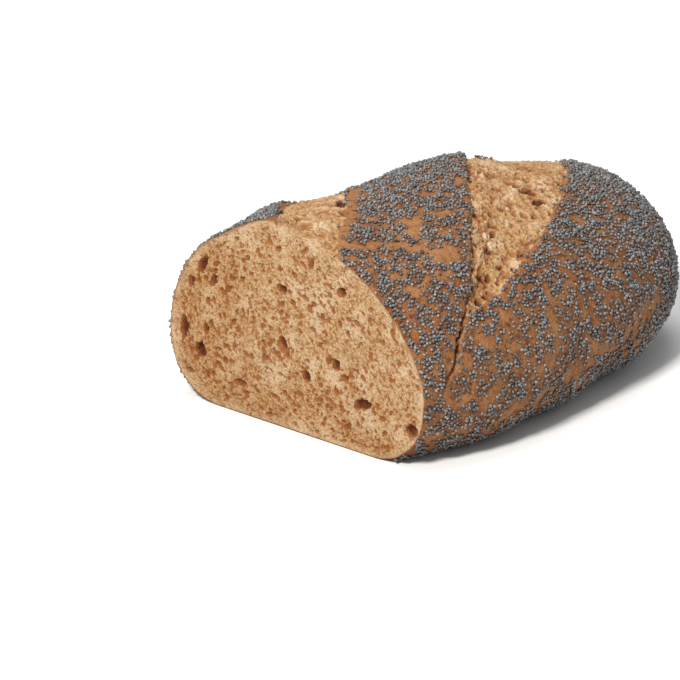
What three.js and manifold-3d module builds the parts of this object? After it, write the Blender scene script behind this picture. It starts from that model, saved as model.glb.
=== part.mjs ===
// A whole wheat sourdough loaf with a poppy seed crust, slashed on the slant and cut across at one end.
//
// Millimetres, +Z up. X runs along the loaf, from the cut face at -X to the rounded end at +X, and Y runs
// across it. The origin is the centre of the loaf's length and width, on the surface that it rests on.
//
// Two numbers name a place on the crust: "along", the distance from the cut, and "round", the distance
// over the crust from the top line, positive down the -Y flank and negative down the +Y flank.

import * as THREE from "three";
import { mergeVertices } from "three/addons/utils/BufferGeometryUtils.js";
import Module from "manifold-3d";

const wasm = await Module();
wasm.setup();

// ---------------------------------------------------------------- driving dimensions

const LOAF_LENGTH = 179; // from the middle of the cut to the tip of the rounded end
const LOAF_WIDTH = 129; // at the widest, level with the flanks
const LOAF_HEIGHT = 77; // the top line of the smooth loaf, before its ridges

const FLANK_HEIGHT = 27.5; // where the flanks are widest
const BASE_SHARE = 0.58; // half-width of the flat base, as a share of the half-width of the loaf
const TOP_ROUNDNESS = 1.9; // 2 is an ellipse, more is squarer
const FOOT_ROUNDNESS = 2.37;
const TOP_LEAN = 2.8; // the top line stands this far off the middle, towards +Y

const PLAN_END = 135; // the length over which the loaf narrows to its tip, seen from above
const TOP_END = 112; // the length over which the top line falls to the tip
const PLAN_ROUNDNESS = 2.47;
const TOP_END_ROUNDNESS = 2.48;
const FOOT_LIFT = 1.023; // how late the underside of the end leaves the table
const CUT_TAPER = 0.082; // how much narrower the loaf is at the cut than at its widest

// Where a flank swells out, or is tucked in: whole below the low height, and gone above the high one.
const SWELLS = [
  { side: -1, out: 3.6, along: 44, length: 29, low: 10, high: 55 },
  { side: -1, out: -3.5, along: 105, length: 12, low: 5, high: 25 },
  { side: 1, out: 1.5, along: 0, length: 25, low: 20, high: 50 },
];

const CUT_TURN = THREE.MathUtils.degToRad(5.5); // the cut isn't quite square: seen from above
const CUT_TILT = THREE.MathUtils.degToRad(0.8); // and from the side
const CUT_SKEW_LENGTH = 60; // the crust follows the skew of the cut this far along

// The slashes run on the slant: a line of constant along + slant * round follows one.
const SLASH_NEAR = 64; // over the crust, from the top line down to where the slash closes on the -Y flank
const SLASH_FAR = 52; // and on the +Y flank
const SLASHES = [
  { lip: -7, slant: 1.2, width: 36, ridge: 3.1, floor: [-0.6, 0.3, 1.6] }, // depths: lip, middle, far edge
  { lip: 90, slant: 0.95, width: 54, ridge: 2.7, floor: [0.6, 2.4, 1.6] },
];
const RIDGE_LENGTH = 62; // the crust swells up behind each lip, from this far away
const RIDGE_DROP = 8; // past the lip it would be gone after this much, if the crust weren't torn there
const CRAG = 0.7; // the height of the crags on the torn floor
const CREASE = { overlap: 6, run: 32, width: 3.6, depth: 1.7 }; // each slash runs on down the flank as a crease
const LUMP = 0.5; // slow unevenness of the whole crust
const TIP_BLEND = 12; // all relief fades out this far from the tip
const FOOT_BLEND = 14; // and from the base, where the loaf stands
const CUT_BLEND = 8; // and the crags fade out near the cut, which is even

// The largest pores of the crumb that the cut shows: place across (y) and up (z), half-sizes and turn.
const PORES = [
  { y: 54, z: 27, half: [1.9, 5], turn: 6 },
  { y: 46, z: 20, half: [2.8, 3], turn: 0 },
  { y: 44, z: 54, half: [1.8, 4], turn: 32 },
  { y: 39, z: 49, half: [1.5, 3], turn: 30 },
  { y: 50, z: 46, half: [1.5, 2.6], turn: 8 },
  { y: 43, z: 29, half: [1.5, 2.2], turn: 0 },
  { y: 6, z: 54, half: [2.5, 1.8], turn: 10 },
  { y: -22, z: 60, half: [2.1, 1.8], turn: 0 },
  { y: -5, z: 23, half: [2, 2.2], turn: 0 },
  { y: 6, z: 33, half: [2, 2.5], turn: -15 },
  { y: -19, z: 31, half: [2, 2.2], turn: 20 },
  { y: -31, z: 19, half: [4.2, 2.2], turn: -12 },
  { y: -54, z: 15, half: [2.6, 2.6], turn: 0 },
  { y: 27, z: 12, half: [3.8, 1.3], turn: -8 },
];
const PORE_DEPTH = 1.6;
const SMALL_PORES = 14;
const SMALL_PORE = { least: 0.6, most: 1.1 };
const PORE_CLEAR = 5; // from the crust

const SEED = { long: 1.35, wide: 1.05, high: 0.95, sunk: 0.32 };
const SEED_SPACING = 15.8; // between the seeds that are modelled, over the crust
const SEED_CLEAR = 2.5; // from the cut, the table and the slashes

// ---------------------------------------------------------------- small helpers

const clamp = (v, low, high) => Math.min(high, Math.max(low, v));
const smooth = (t) => clamp(t, 0, 1) ** 2 * (3 - 2 * clamp(t, 0, 1));
const signedPower = (v, p) => Math.sign(v) * Math.abs(v) ** p;

function seededRandom(seed) {
  let state = seed;
  return () => {
    state = (Math.imul(state, 1664525) + 1013904223) >>> 0;
    return state / 2 ** 32;
  };
}

function solidOf(geometry) {
  const bare = geometry.clone();
  bare.deleteAttribute("normal");
  bare.deleteAttribute("uv");
  const merged = mergeVertices(bare, 1e-4);
  const corners = merged.index.array;
  const kept = [];
  for (let i = 0; i < corners.length; i += 3) {
    const [a, b, c] = corners.slice(i, i + 3);
    if (a !== b && b !== c && c !== a) kept.push(a, b, c);
  }
  const mesh = { numProp: 3, vertProperties: merged.attributes.position.array, triVerts: new Uint32Array(kept) };
  return new wasm.Manifold(new wasm.Mesh(mesh));
}

// A closed solid from points and faces that may repeat a point, turned the right way out.
function solidFrom(points, faces) {
  const geometry = new THREE.BufferGeometry();
  geometry.setAttribute("position", new THREE.Float32BufferAttribute(points.flatMap((p) => p.toArray()), 3));
  geometry.setIndex(faces.flat());
  const solid = solidOf(geometry);
  if (solid.volume() > 0) return solid;
  geometry.setIndex(faces.flatMap(([a, b, c]) => [a, c, b]));
  return solidOf(geometry);
}

function geometryOf(solid) {
  const mesh = solid.getMesh();
  const geometry = new THREE.BufferGeometry();
  geometry.setAttribute("position", new THREE.BufferAttribute(mesh.vertProperties, 3));
  geometry.setIndex(new THREE.BufferAttribute(mesh.triVerts, 1));
  geometry.computeVertexNormals();
  return geometry;
}

// ---------------------------------------------------------------- the smooth loaf

// How much of its full size the loaf still has at a place along it, as it rounds off towards the tip.
function endShare(along, endLength, roundness) {
  const t = clamp((along - (LOAF_LENGTH - endLength)) / endLength, 0, 1);
  return clamp(1 - t ** roundness, 0, 1) ** (1 / roundness);
}

function swellOut(along, z, side) {
  let out = 0;
  for (const swell of SWELLS.filter((one) => one.side === side)) {
    const low = clamp((swell.high - z) / (swell.high - swell.low), 0, 1);
    out += swell.out * low * Math.exp(-(((along - swell.along) / swell.length) ** 2));
  }
  return out;
}

// The section across the loaf at one place: points from the +Y corner of its base over the top to the
// -Y corner, how far round each lies, and how far round the two corners of the base are.
const SECTION_STEPS = 240;
const sections = new Map();
function section(along) {
  if (sections.has(along)) return sections.get(along);
  const taper = 1 - CUT_TAPER * clamp(1 - along / (LOAF_LENGTH - PLAN_END), 0, 1) ** 2;
  const widthShare = taper * endShare(along, PLAN_END, PLAN_ROUNDNESS);
  const halfWidth = (LOAF_WIDTH / 2) * widthShare;
  const halfBase = BASE_SHARE * halfWidth;
  const topShare = endShare(along, TOP_END, TOP_END_ROUNDNESS);
  const rise = (LOAF_HEIGHT - FLANK_HEIGHT) * topShare;
  const underside = FLANK_HEIGHT * (1 - Math.min(1, FOOT_LIFT * topShare));
  const points = [];
  for (let i = 0; i <= SECTION_STEPS; i++) {
    const angle = Math.PI * (-0.5 + (2 * i) / SECTION_STEPS);
    const [c, s] = [Math.cos(angle), Math.sin(angle)];
    const side = i < SECTION_STEPS / 2 ? 1 : -1;
    let y, z;
    if (s >= 0) {
      y = halfWidth * signedPower(c, 2 / TOP_ROUNDNESS);
      z = FLANK_HEIGHT + rise * s ** (2 / TOP_ROUNDNESS);
    } else {
      y = side * (halfBase + (halfWidth - halfBase) * Math.abs(c) ** (2 / FOOT_ROUNDNESS));
      z = underside + (FLANK_HEIGHT - underside) * (1 - Math.abs(s) ** (2 / FOOT_ROUNDNESS));
    }
    const swell = (swellOut(along, z, side) * Math.abs(y)) / Math.max(halfWidth, 1);
    const lean = TOP_LEAN * (z / LOAF_HEIGHT) ** 2 * widthShare;
    points.push(new THREE.Vector2(y + side * swell + lean, z));
  }
  const lengths = [0];
  for (let i = 1; i <= SECTION_STEPS; i++) lengths.push(lengths[i - 1] + points[i].distanceTo(points[i - 1]));
  const top = lengths[SECTION_STEPS / 2];
  const made = { points, round: lengths.map((l) => l - top), corners: [top, lengths[SECTION_STEPS] - top] };
  sections.set(along, made);
  return made;
}

// How far round the base starts, on the side that this place is on.
const cornerRound = (along, round) => section(along).corners[round < 0 ? 0 : 1];

function smoothPoint(along, round) {
  const { points, round: rounds } = section(along);
  let i = 1;
  while (i < SECTION_STEPS && rounds[i] < round) i++;
  const step = rounds[i] - rounds[i - 1];
  const t = step > 0 ? clamp((round - rounds[i - 1]) / step, 0, 1) : 0;
  const p = points[i - 1].clone().lerp(points[i], t);
  return new THREE.Vector3(along, p.x, p.y);
}

const NORMAL_STEP = 0.8;
function smoothNormal(along, round) {
  const a = clamp(along, NORMAL_STEP, LOAF_LENGTH - 2 * NORMAL_STEP);
  const lengthways = smoothPoint(a + NORMAL_STEP, round).sub(smoothPoint(a - NORMAL_STEP, round));
  const across = smoothPoint(a, round + NORMAL_STEP).sub(smoothPoint(a, round - NORMAL_STEP));
  return lengthways.cross(across).negate().normalize();
}

// ---------------------------------------------------------------- the part's own frame

const CUT_REACH = (LOAF_WIDTH / 2) * (1 - CUT_TAPER) * Math.tan(CUT_TURN); // the cut's far corner, past its middle
const MIDDLE_ALONG = (LOAF_LENGTH - CUT_REACH) / 2;
const MIDDLE_ACROSS = -0.7; // the swells move the middle of the width

// From "along" as x to the part's frame: the end by the cut is skewed, and the origin is in the middle.
function placed(p) {
  const share = clamp(1 - p.x / CUT_SKEW_LENGTH, 0, 1);
  const skew = Math.tan(CUT_TURN) * p.y + Math.tan(CUT_TILT) * (p.z - LOAF_HEIGHT / 2);
  return new THREE.Vector3(p.x - share * skew - MIDDLE_ALONG, p.y - MIDDLE_ACROSS, Math.max(p.z, 0));
}

// ---------------------------------------------------------------- relief of the crust

const slashEnd = (round) => (round > 0 ? SLASH_NEAR : SLASH_FAR);
const slashFade = (round) => Math.sqrt(clamp(1 - (round / slashEnd(round)) ** 2, 0, 1));

// Behind each slash's lip the crust swells slowly to a crest, and drops again at the lip.
function ridges(along, round) {
  let height = 0;
  for (const { lip, slant, ridge } of SLASHES) {
    const t = clamp((along + slant * round - lip + RIDGE_LENGTH) / (RIDGE_LENGTH + RIDGE_DROP), 0, 1);
    height += ridge * Math.sin(Math.PI * t ** 3);
  }
  return height * slashFade(round);
}

function lumps(along, round) {
  const slow = Math.sin(along / 9 + 1.3) * Math.sin(round / 11 + 0.4);
  const quick = Math.sin(along / 5.3 + round / 7.1 + 2);
  return LUMP * (slow + 0.5 * quick);
}

function relief(along, round) {
  const edge = smooth((LOAF_LENGTH - along) / TIP_BLEND);
  return (ridges(along, round) + lumps(along, round)) * edge;
}

const onCrust = (along, round, height) =>
  smoothPoint(along, round).addScaledVector(smoothNormal(along, round), height);

function crustPoint(along, round, lift = 0) {
  const foot = smooth((cornerRound(along, round) - Math.abs(round)) / FOOT_BLEND);
  const p = onCrust(along, round, relief(along, round) * foot + lift);
  p.x = Math.max(p.x, 0);
  return p;
}

// ---------------------------------------------------------------- the whole loaf, before it is torn

const STATIONS = 36;
const ROUND_STEPS = 46;

function loafBody() {
  const points = [];
  const faces = [];
  for (let i = 0; i < STATIONS; i++) {
    const along = LOAF_LENGTH * (1 - (1 - i / STATIONS) ** 1.7); // closer together towards the tip
    for (let j = 0; j <= ROUND_STEPS; j++) {
      const share = (2 * j) / ROUND_STEPS - 1;
      const p = crustPoint(along, share * cornerRound(along, share));
      if (i === 0) p.x = 0;
      points.push(placed(p));
    }
  }
  const ring = ROUND_STEPS + 1;
  const tip = points.push(placed(new THREE.Vector3(LOAF_LENGTH, 0, FLANK_HEIGHT))) - 1;
  const middle = points.push(placed(new THREE.Vector3(0, 0, LOAF_HEIGHT / 2))) - 1;
  for (let j = 0; j < ring; j++) {
    const next = (j + 1) % ring;
    for (let i = 0; i < STATIONS - 1; i++) {
      const [a, b, c, d] = [i * ring + j, i * ring + next, (i + 1) * ring + next, (i + 1) * ring + j];
      faces.push([a, b, c], [a, c, d]);
    }
    const last = (STATIONS - 1) * ring;
    faces.push([last + j, last + next, tip]);
    faces.push([next, j, middle]);
  }
  return solidFrom(points, faces);
}

// ---------------------------------------------------------------- what is taken out of the crust

// The solid between the low and the high points of a grid.
function gridSolid(grid) {
  const rows = grid.length;
  const columns = grid[0].length;
  const points = grid.flat(2);
  const at = (r, c, side) => 2 * (r * columns + c) + side;
  const faces = [];
  const quad = (a, b, c, d) => faces.push([a, b, c], [a, c, d]);
  for (let r = 0; r < rows - 1; r++) {
    for (let c = 0; c < columns - 1; c++) {
      quad(at(r, c, 1), at(r, c + 1, 1), at(r + 1, c + 1, 1), at(r + 1, c, 1));
      quad(at(r, c, 0), at(r + 1, c, 0), at(r + 1, c + 1, 0), at(r, c + 1, 0));
    }
    quad(at(r, 0, 0), at(r, 0, 1), at(r + 1, 0, 1), at(r + 1, 0, 0));
    quad(at(r, columns - 1, 1), at(r, columns - 1, 0), at(r + 1, columns - 1, 0), at(r + 1, columns - 1, 1));
  }
  for (let c = 0; c < columns - 1; c++) {
    quad(at(0, c, 1), at(0, c, 0), at(0, c + 1, 0), at(0, c + 1, 1));
    quad(at(rows - 1, c, 0), at(rows - 1, c, 1), at(rows - 1, c + 1, 1), at(rows - 1, c + 1, 0));
  }
  return solidFrom(points, faces);
}

// A point at a height over the smooth crust, which may lie past the cut so that the cut shows the opening.
function toolPoint(along, round, height) {
  const inside = clamp(along, 0, LOAF_LENGTH - 2);
  const p = onCrust(inside, round, height);
  p.x += along - inside;
  return placed(p);
}

const ABOVE = 7; // a tool reaches this far over the crust
const craggy = seededRandom(11);

// The depth of a torn floor, at a share of the way from the lip to the far edge of its slash.
function floorDepth([atLip, middle, atEdge], share) {
  return atLip + (middle - atLip) * smooth(2.2 * share) + (atEdge - middle) * smooth(2.2 * share - 1.2);
}

// What is torn out of one slash: lens-shaped from above, with a craggy floor.
function tearTool({ lip, slant, width, floor }) {
  const [COLUMNS, ROWS] = [8, 24];
  const grid = [];
  for (let r = 0; r <= ROWS; r++) {
    const turn = Math.sin((Math.PI / 2) * ((2 * r) / ROWS - 1));
    const round = turn * slashEnd(turn);
    const open = width * slashFade(round);
    const row = [];
    for (let c = 0; c <= COLUMNS; c++) {
      const share = c / COLUMNS;
      const along = lip + share * open - slant * round;
      const crag = CRAG * (2 * craggy() - 1) * (c > 0 && c < COLUMNS ? 1 : 0.2) * smooth(along / CUT_BLEND);
      const below = (floorDepth(floor, share) + crag) * slashFade(round);
      row.push([toolPoint(along, round, -below), toolPoint(along, round, ABOVE)]);
    }
    grid.push(row);
  }
  return gridSolid(grid);
}

// The groove in which a slash runs on down one flank, in line with its lip.
function creaseTool({ lip, slant }, side) {
  const grid = [];
  const STEPS = 7;
  for (let r = 0; r <= STEPS; r++) {
    const round = side * (slashEnd(side) - CREASE.overlap + (CREASE.run * r) / STEPS);
    const along = lip - slant * round;
    if (along < -SEED_CLEAR || along > LOAF_LENGTH - TIP_BLEND) continue;
    if (Math.abs(round) > cornerRound(clamp(along, 0, LOAF_LENGTH), round) - 12) continue;
    const fade = Math.sin(Math.PI * clamp(0.15 + (0.85 * r) / STEPS, 0, 1)) + 0.05;
    const half = (CREASE.width / 2) * fade;
    const row = [-half, 0, half].map((offset) => {
      const depth = offset === 0 ? CREASE.depth * fade : -0.6;
      return [toolPoint(along + offset, round, -depth), toolPoint(along + offset, round, ABOVE)];
    });
    grid.push(row);
  }
  return grid.length > 1 ? [gridSolid(grid)] : [];
}

// ---------------------------------------------------------------- pores of the crumb

function poreTool(y, z, half, turn) {
  const ball = new THREE.IcosahedronGeometry(1, Math.min(...half) >= 2 ? 1 : 0);
  ball.scale(PORE_DEPTH * Math.min(1, Math.min(...half) / 1.5), half[0], half[1]);
  ball.rotateX(THREE.MathUtils.degToRad(turn));
  const place = placed(new THREE.Vector3(0, y, z));
  return solidOf(ball.translate(place.x, place.y, place.z));
}

function poreTools() {
  const draw = seededRandom(5);
  const tools = PORES.map(({ y, z, half, turn }) => poreTool(y, z, half, turn));
  const clearOf = (y, z) => PORES.every((pore) => Math.hypot(pore.y - y, pore.z - z) > Math.max(...pore.half) + 3);
  const { points } = section(0);
  while (tools.length < PORES.length + SMALL_PORES) {
    const y = (draw() - 0.5) * LOAF_WIDTH;
    const z = PORE_CLEAR + draw() * (LOAF_HEIGHT - 2 * PORE_CLEAR);
    const half = [0, 0].map(() => SMALL_PORE.least + draw() * (SMALL_PORE.most - SMALL_PORE.least));
    const crust = Math.min(...points.map((p) => Math.hypot(p.x - y, p.y - z)));
    const inside = points.some((p) => Math.abs(p.x) > Math.abs(y) + PORE_CLEAR && p.x * y > 0 && p.y > z);
    if (inside && crust > PORE_CLEAR && clearOf(y, z)) tools.push(poreTool(y, z, half, 360 * draw()));
  }
  return tools;
}

// ---------------------------------------------------------------- poppy seeds on the crust

// Whether a place is on torn crumb, on a crease, or too near one for a seed.
function nearSlash(along, round) {
  return SLASHES.some(({ lip, slant, width }) => {
    const past = along + slant * round - lip;
    if (Math.abs(round) > slashEnd(round) + CREASE.run - CREASE.overlap) return false;
    return past > -SEED_CLEAR && past < Math.max(width * slashFade(round), CREASE.width) + SEED_CLEAR;
  });
}

function seeds() {
  const draw = seededRandom(23);
  const made = [];
  for (let along = SEED_CLEAR + 1; along < LOAF_LENGTH - 1; along += SEED_SPACING * 0.86) {
    const [far, near] = section(along).corners;
    const count = Math.max(3, Math.round((far + near) / SEED_SPACING));
    for (let k = 0; k < count; k++) {
      const a = clamp(along + (draw() - 0.5) * SEED_SPACING * 0.5, SEED_CLEAR, LOAF_LENGTH - 1);
      const round = -far + ((k + 0.2 + 0.6 * draw()) / count) * (far + near);
      const twist = draw() * Math.PI;
      const p = placed(crustPoint(a, round, SEED.high / 2 - SEED.sunk));
      if (p.z < SEED_CLEAR || nearSlash(a, round)) continue;
      const seed = new THREE.IcosahedronGeometry(0.5, 0);
      seed.scale(SEED.long, SEED.wide, SEED.high).rotateZ(twist);
      seed.applyQuaternion(new THREE.Quaternion().setFromUnitVectors(new THREE.Vector3(0, 0, 1), smoothNormal(a, round)));
      made.push(solidOf(seed.translate(p.x, p.y, p.z)));
    }
  }
  return made;
}

// ---------------------------------------------------------------- the part

function loaf() {
  const tears = SLASHES.map(tearTool);
  const creases = SLASHES.flatMap((slash) => [-1, 1].flatMap((side) => creaseTool(slash, side)));
  const cut = wasm.Manifold.union([...tears, ...creases, ...poreTools()]);
  const pieces = loafBody().subtract(cut).add(wasm.Manifold.union(seeds())).decompose();
  return pieces.reduce((best, piece) => (piece.volume() > best.volume() ? piece : best));
}

const crust = new THREE.MeshStandardMaterial({ color: 0xb3814f, roughness: 0.85, metalness: 0 });
const mesh = new THREE.Mesh(geometryOf(loaf()), crust);
mesh.name = "loaf";

const group = new THREE.Group();
group.add(mesh);
export default group;
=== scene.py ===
# %% [markdown]
# # A whole wheat sourdough loaf with a poppy seed crust
#
# The object is most of an oval loaf. It is cut straight across at one end, so the crumb shows there. Two
# slashes were cut on the slant into the raw dough and tore open in the oven. Everywhere else the crust
# wears a coat of poppy seeds. This lesson builds it around a fixed frame that holds its size and place.

import math

import bpy
import numpy as np
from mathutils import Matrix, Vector, kdtree, noise


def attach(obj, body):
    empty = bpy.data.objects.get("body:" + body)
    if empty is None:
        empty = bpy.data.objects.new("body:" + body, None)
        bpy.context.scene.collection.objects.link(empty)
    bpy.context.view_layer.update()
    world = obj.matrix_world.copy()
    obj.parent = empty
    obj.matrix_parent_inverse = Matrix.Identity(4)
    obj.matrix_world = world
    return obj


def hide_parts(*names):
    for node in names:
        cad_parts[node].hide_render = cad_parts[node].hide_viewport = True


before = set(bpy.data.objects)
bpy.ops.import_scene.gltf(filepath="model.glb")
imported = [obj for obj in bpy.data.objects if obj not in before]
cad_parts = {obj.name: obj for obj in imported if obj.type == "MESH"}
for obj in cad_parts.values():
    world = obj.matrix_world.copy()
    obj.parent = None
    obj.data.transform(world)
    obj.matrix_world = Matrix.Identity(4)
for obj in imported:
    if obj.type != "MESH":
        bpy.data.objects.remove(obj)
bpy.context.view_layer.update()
bpy.ops.object.select_all(action="DESELECT")

# %% [markdown]
# ## Sizes of the loaf
#
# A loaf is shaped by a few sizes: how long, wide and high it is, how it rounds off, and where the slashes
# lie. They are the frame's own, in millimetres, and only the finished points are turned into metres. Two
# numbers name a place on the crust: "along", the distance from the cut, and "round", the distance over
# the crust from the top line, positive down the -Y flank.

# %% Sizes, in millimetres
MM = 0.001
LOAF_LENGTH, LOAF_WIDTH, LOAF_HEIGHT = 179, 129, 77
FLANK_HEIGHT = 27.5  # where the flanks are widest
BASE_SHARE = 0.58  # half-width of the flat base, as a share of the loaf's
TOP_ROUNDNESS, FOOT_ROUNDNESS = 1.9, 2.37  # 2 is an ellipse, more is squarer
TOP_LEAN = 2.8
PLAN_END, PLAN_ROUNDNESS = 135, 2.47  # the end, seen from above
TOP_END, TOP_END_ROUNDNESS = 112, 2.48  # and from the side
FOOT_LIFT = 1.023
CUT_TAPER = 0.082
SWELLS = (  # where a flank swells out or is tucked in: whole below "low", gone above "high"
    {"side": -1, "out": 3.6, "along": 44, "length": 29, "low": 10, "high": 55},
    {"side": -1, "out": -3.5, "along": 105, "length": 12, "low": 5, "high": 25},
    {"side": 1, "out": 1.5, "along": 0, "length": 25, "low": 20, "high": 50},
)
CUT_TURN, CUT_TILT = math.radians(5.5), math.radians(0.8)
CUT_SKEW_LENGTH = 60
SLASH_NEAR, SLASH_FAR = 64, 52
SLASHES = (  # a line of constant along + slant * round follows one; floor: depths at lip, middle, far edge
    {"lip": -7, "slant": 1.2, "width": 36, "ridge": 3.1, "floor": (-0.6, 0.3, 1.6)},
    {"lip": 90, "slant": 0.95, "width": 54, "ridge": 2.7, "floor": (0.6, 2.4, 1.6)},
)
RIDGE_LENGTH = 62
CREASE_OVERLAP, CREASE_RUN, CREASE_WIDTH, CREASE_DEPTH = 6, 32, 3.6, 1.7
LUMP = 0.5
CUT_REACH = LOAF_WIDTH / 2 * (1 - CUT_TAPER) * math.tan(CUT_TURN)
MIDDLE_ALONG, MIDDLE_ACROSS = (LOAF_LENGTH - CUT_REACH) / 2, -0.7

# %% [markdown]
# ## The rule of the smooth loaf
#
# Across the loaf, each section is a superellipse over the flanks and a squarer one under them, down to the
# flat base. Along it, another superellipse closes the rounded end. The rule is tabled once, on a fine
# grid, and read between the grid's points afterwards, because that is much faster.

# %% The rule of the smooth loaf


def smooth(t):
    t = np.clip(t, 0, 1)
    return t * t * (3 - 2 * t)


def end_share(along, end_length, roundness):
    """How much of its full size the loaf still has at a place along it."""
    t = np.clip((along - (LOAF_LENGTH - end_length)) / end_length, 0, 1)
    return np.clip(1 - t**roundness, 0, 1) ** (1 / roundness)


def width_share(along):
    taper = 1 - CUT_TAPER * np.clip(1 - along / (LOAF_LENGTH - PLAN_END), 0, 1) ** 2
    return taper * end_share(along, PLAN_END, PLAN_ROUNDNESS)


def section(along, angle):
    """Across and up, for a column of places along and a row of angles from base corner to base corner."""
    share = width_share(along)
    half_width = LOAF_WIDTH / 2 * share
    half_base = BASE_SHARE * half_width
    top_share = end_share(along, TOP_END, TOP_END_ROUNDNESS)
    underside = FLANK_HEIGHT * (1 - np.minimum(1, FOOT_LIFT * top_share))
    c, s = np.cos(angle), np.sin(angle)
    side = np.where(angle < math.pi / 2, 1, -1)
    over, under = np.clip(s, 0, 1), np.clip(-s, 0, 1)
    rise = (LOAF_HEIGHT - FLANK_HEIGHT) * top_share
    top_y = half_width * side * np.abs(c) ** (2 / TOP_ROUNDNESS)
    foot_y = side * (half_base + (half_width - half_base) * np.abs(c) ** (2 / FOOT_ROUNDNESS))
    y = np.where(s >= 0, top_y, foot_y)
    top_z = FLANK_HEIGHT + rise * over ** (2 / TOP_ROUNDNESS)
    foot_z = underside + (FLANK_HEIGHT - underside) * (1 - under ** (2 / FOOT_ROUNDNESS))
    z = np.where(s >= 0, top_z, foot_z)
    out = np.zeros_like(z)
    for swell in SWELLS:
        low = np.clip((swell["high"] - z) / (swell["high"] - swell["low"]), 0, 1)
        bump = swell["out"] * low * np.exp(-(((along - swell["along"]) / swell["length"]) ** 2))
        out += np.where(side == swell["side"], bump, 0)
    return y + out * y / np.maximum(half_width, 1) + TOP_LEAN * (z / LOAF_HEIGHT) ** 2 * share, z


TABLE_ROWS, TABLE_COLUMNS = 700, 481
FINE_STEPS = 4000  # the outline is measured in this many steps, which are closer towards the tip


def even_stations(count):
    """Places along the loaf that are evenly far apart over its widest outline, from the cut to the tip."""
    along = LOAF_LENGTH - (LOAF_LENGTH - np.linspace(0, 1, FINE_STEPS) * LOAF_LENGTH) ** 3 / LOAF_LENGTH**2
    half = LOAF_WIDTH / 2 * width_share(along)
    travelled = np.concatenate([[0], np.cumsum(np.hypot(np.diff(along), np.diff(half)))])
    return np.interp(np.linspace(0, travelled[-1], count), travelled, along)


def tabled():
    stations = even_stations(TABLE_ROWS)
    angle = math.pi * np.linspace(-0.5, 1.5, 2 * TABLE_COLUMNS - 1)[None, :]
    y, z = section(stations[:, None], angle)
    steps = np.hypot(np.diff(y, axis=1), np.diff(z, axis=1))
    length = np.concatenate([np.zeros((TABLE_ROWS, 1)), np.cumsum(steps, axis=1)], axis=1)
    top = length[:, TABLE_COLUMNS - 1]
    corners = np.stack([top, length[:, -1] - top], axis=1)
    shares = np.linspace(-1, 1, TABLE_COLUMNS)
    table = np.zeros((TABLE_ROWS, TABLE_COLUMNS, 3))
    for i, along in enumerate(stations):
        reach = np.where(shares < 0, corners[i, 0], corners[i, 1])
        places = top[i] + shares * reach
        table[i] = np.stack([np.full_like(shares, along), np.interp(places, length[i], y[i]),
                             np.interp(places, length[i], z[i])], axis=1)
    lengthways, across = np.gradient(table, axis=0), np.gradient(table, axis=1)
    normals = np.cross(across, lengthways)
    normals /= np.linalg.norm(normals, axis=2, keepdims=True) + 1e-12
    normals[-3:] = (1, 0, 0)
    return stations, corners, table, normals


STATIONS, CORNERS, SMOOTH_TABLE, NORMAL_TABLE = tabled()


def corner_round(along, round_):
    """How far round the base starts, on the side that this place is on."""
    return np.where(round_ < 0, np.interp(along, STATIONS, CORNERS[:, 0]),
                    np.interp(along, STATIONS, CORNERS[:, 1]))


def read(table, along, round_):
    row = np.interp(along, STATIONS, np.arange(TABLE_ROWS))
    share = round_ / np.maximum(corner_round(along, round_), 1e-6)
    column = np.clip((share + 1) / 2, 0, 1) * (TABLE_COLUMNS - 1)
    i = np.clip(row.astype(int), 0, TABLE_ROWS - 2)
    j = np.clip(column.astype(int), 0, TABLE_COLUMNS - 2)
    u, v = (row - i)[:, None], (column - j)[:, None]
    near = table[i, j] * (1 - v) + table[i, j + 1] * v
    return near * (1 - u) + (table[i + 1, j] * (1 - v) + table[i + 1, j + 1] * v) * u


def placed(points):
    """From "along" as x to the frame: the end by the cut is skewed, and the origin is in the middle."""
    share = np.clip(1 - points[:, 0] / CUT_SKEW_LENGTH, 0, 1)
    skew = math.tan(CUT_TURN) * points[:, 1] + math.tan(CUT_TILT) * (points[:, 2] - LOAF_HEIGHT / 2)
    x = points[:, 0] - share * skew - MIDDLE_ALONG
    return np.stack([x, points[:, 1] - MIDDLE_ACROSS, np.maximum(points[:, 2], 0)], axis=1)


print("over the crust from the top line to the base:", CORNERS[0].round(1), "mm at the cut")

# %% [markdown]
# ## The crust starts as a sphere
#
# The crust is one closed skin. It could be sculpted or remeshed from blocks, but a UV sphere has rings and
# segments already. The rings by one pole close the end where the loaf is cut, the rest become stations
# along the crust, and the other pole becomes the tip. Each point then knows where on the loaf it is.
# Blender lists a new sphere's faces in another order each time, so they are sorted to make every run alike.

# %% Add the sphere and read its rings
CAP_RINGS, CRUST_RINGS = 3, 173
CRUST_SEGMENTS, BASE_SEGMENTS = 218, 46
RINGS, SEGMENTS = CAP_RINGS + CRUST_RINGS, CRUST_SEGMENTS + BASE_SEGMENTS


def points_of(piece):
    flat = np.empty(3 * len(piece.data.vertices), np.float32)
    piece.data.vertices.foreach_get("co", flat)
    return flat.reshape(-1, 3).astype(float)


def move_points(piece, points):
    piece.data.vertices.foreach_set("co", points.astype(np.float32).ravel())
    piece.data.update()


def paint(piece, **known):
    """Keeps what the points know as attributes, for later steps and for the finishes."""
    for name, values in known.items():
        attribute = piece.data.attributes.get(name) or piece.data.attributes.new(name, "FLOAT", "POINT")
        attribute.data.foreach_set("value", np.asarray(values, np.float32))


def known_by(piece, name):
    values = np.empty(len(piece.data.vertices), np.float32)
    piece.data.attributes[name].data.foreach_get("value", values)
    return values.astype(float)


def mode(name):
    bpy.ops.object.mode_set(mode=name)


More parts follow.
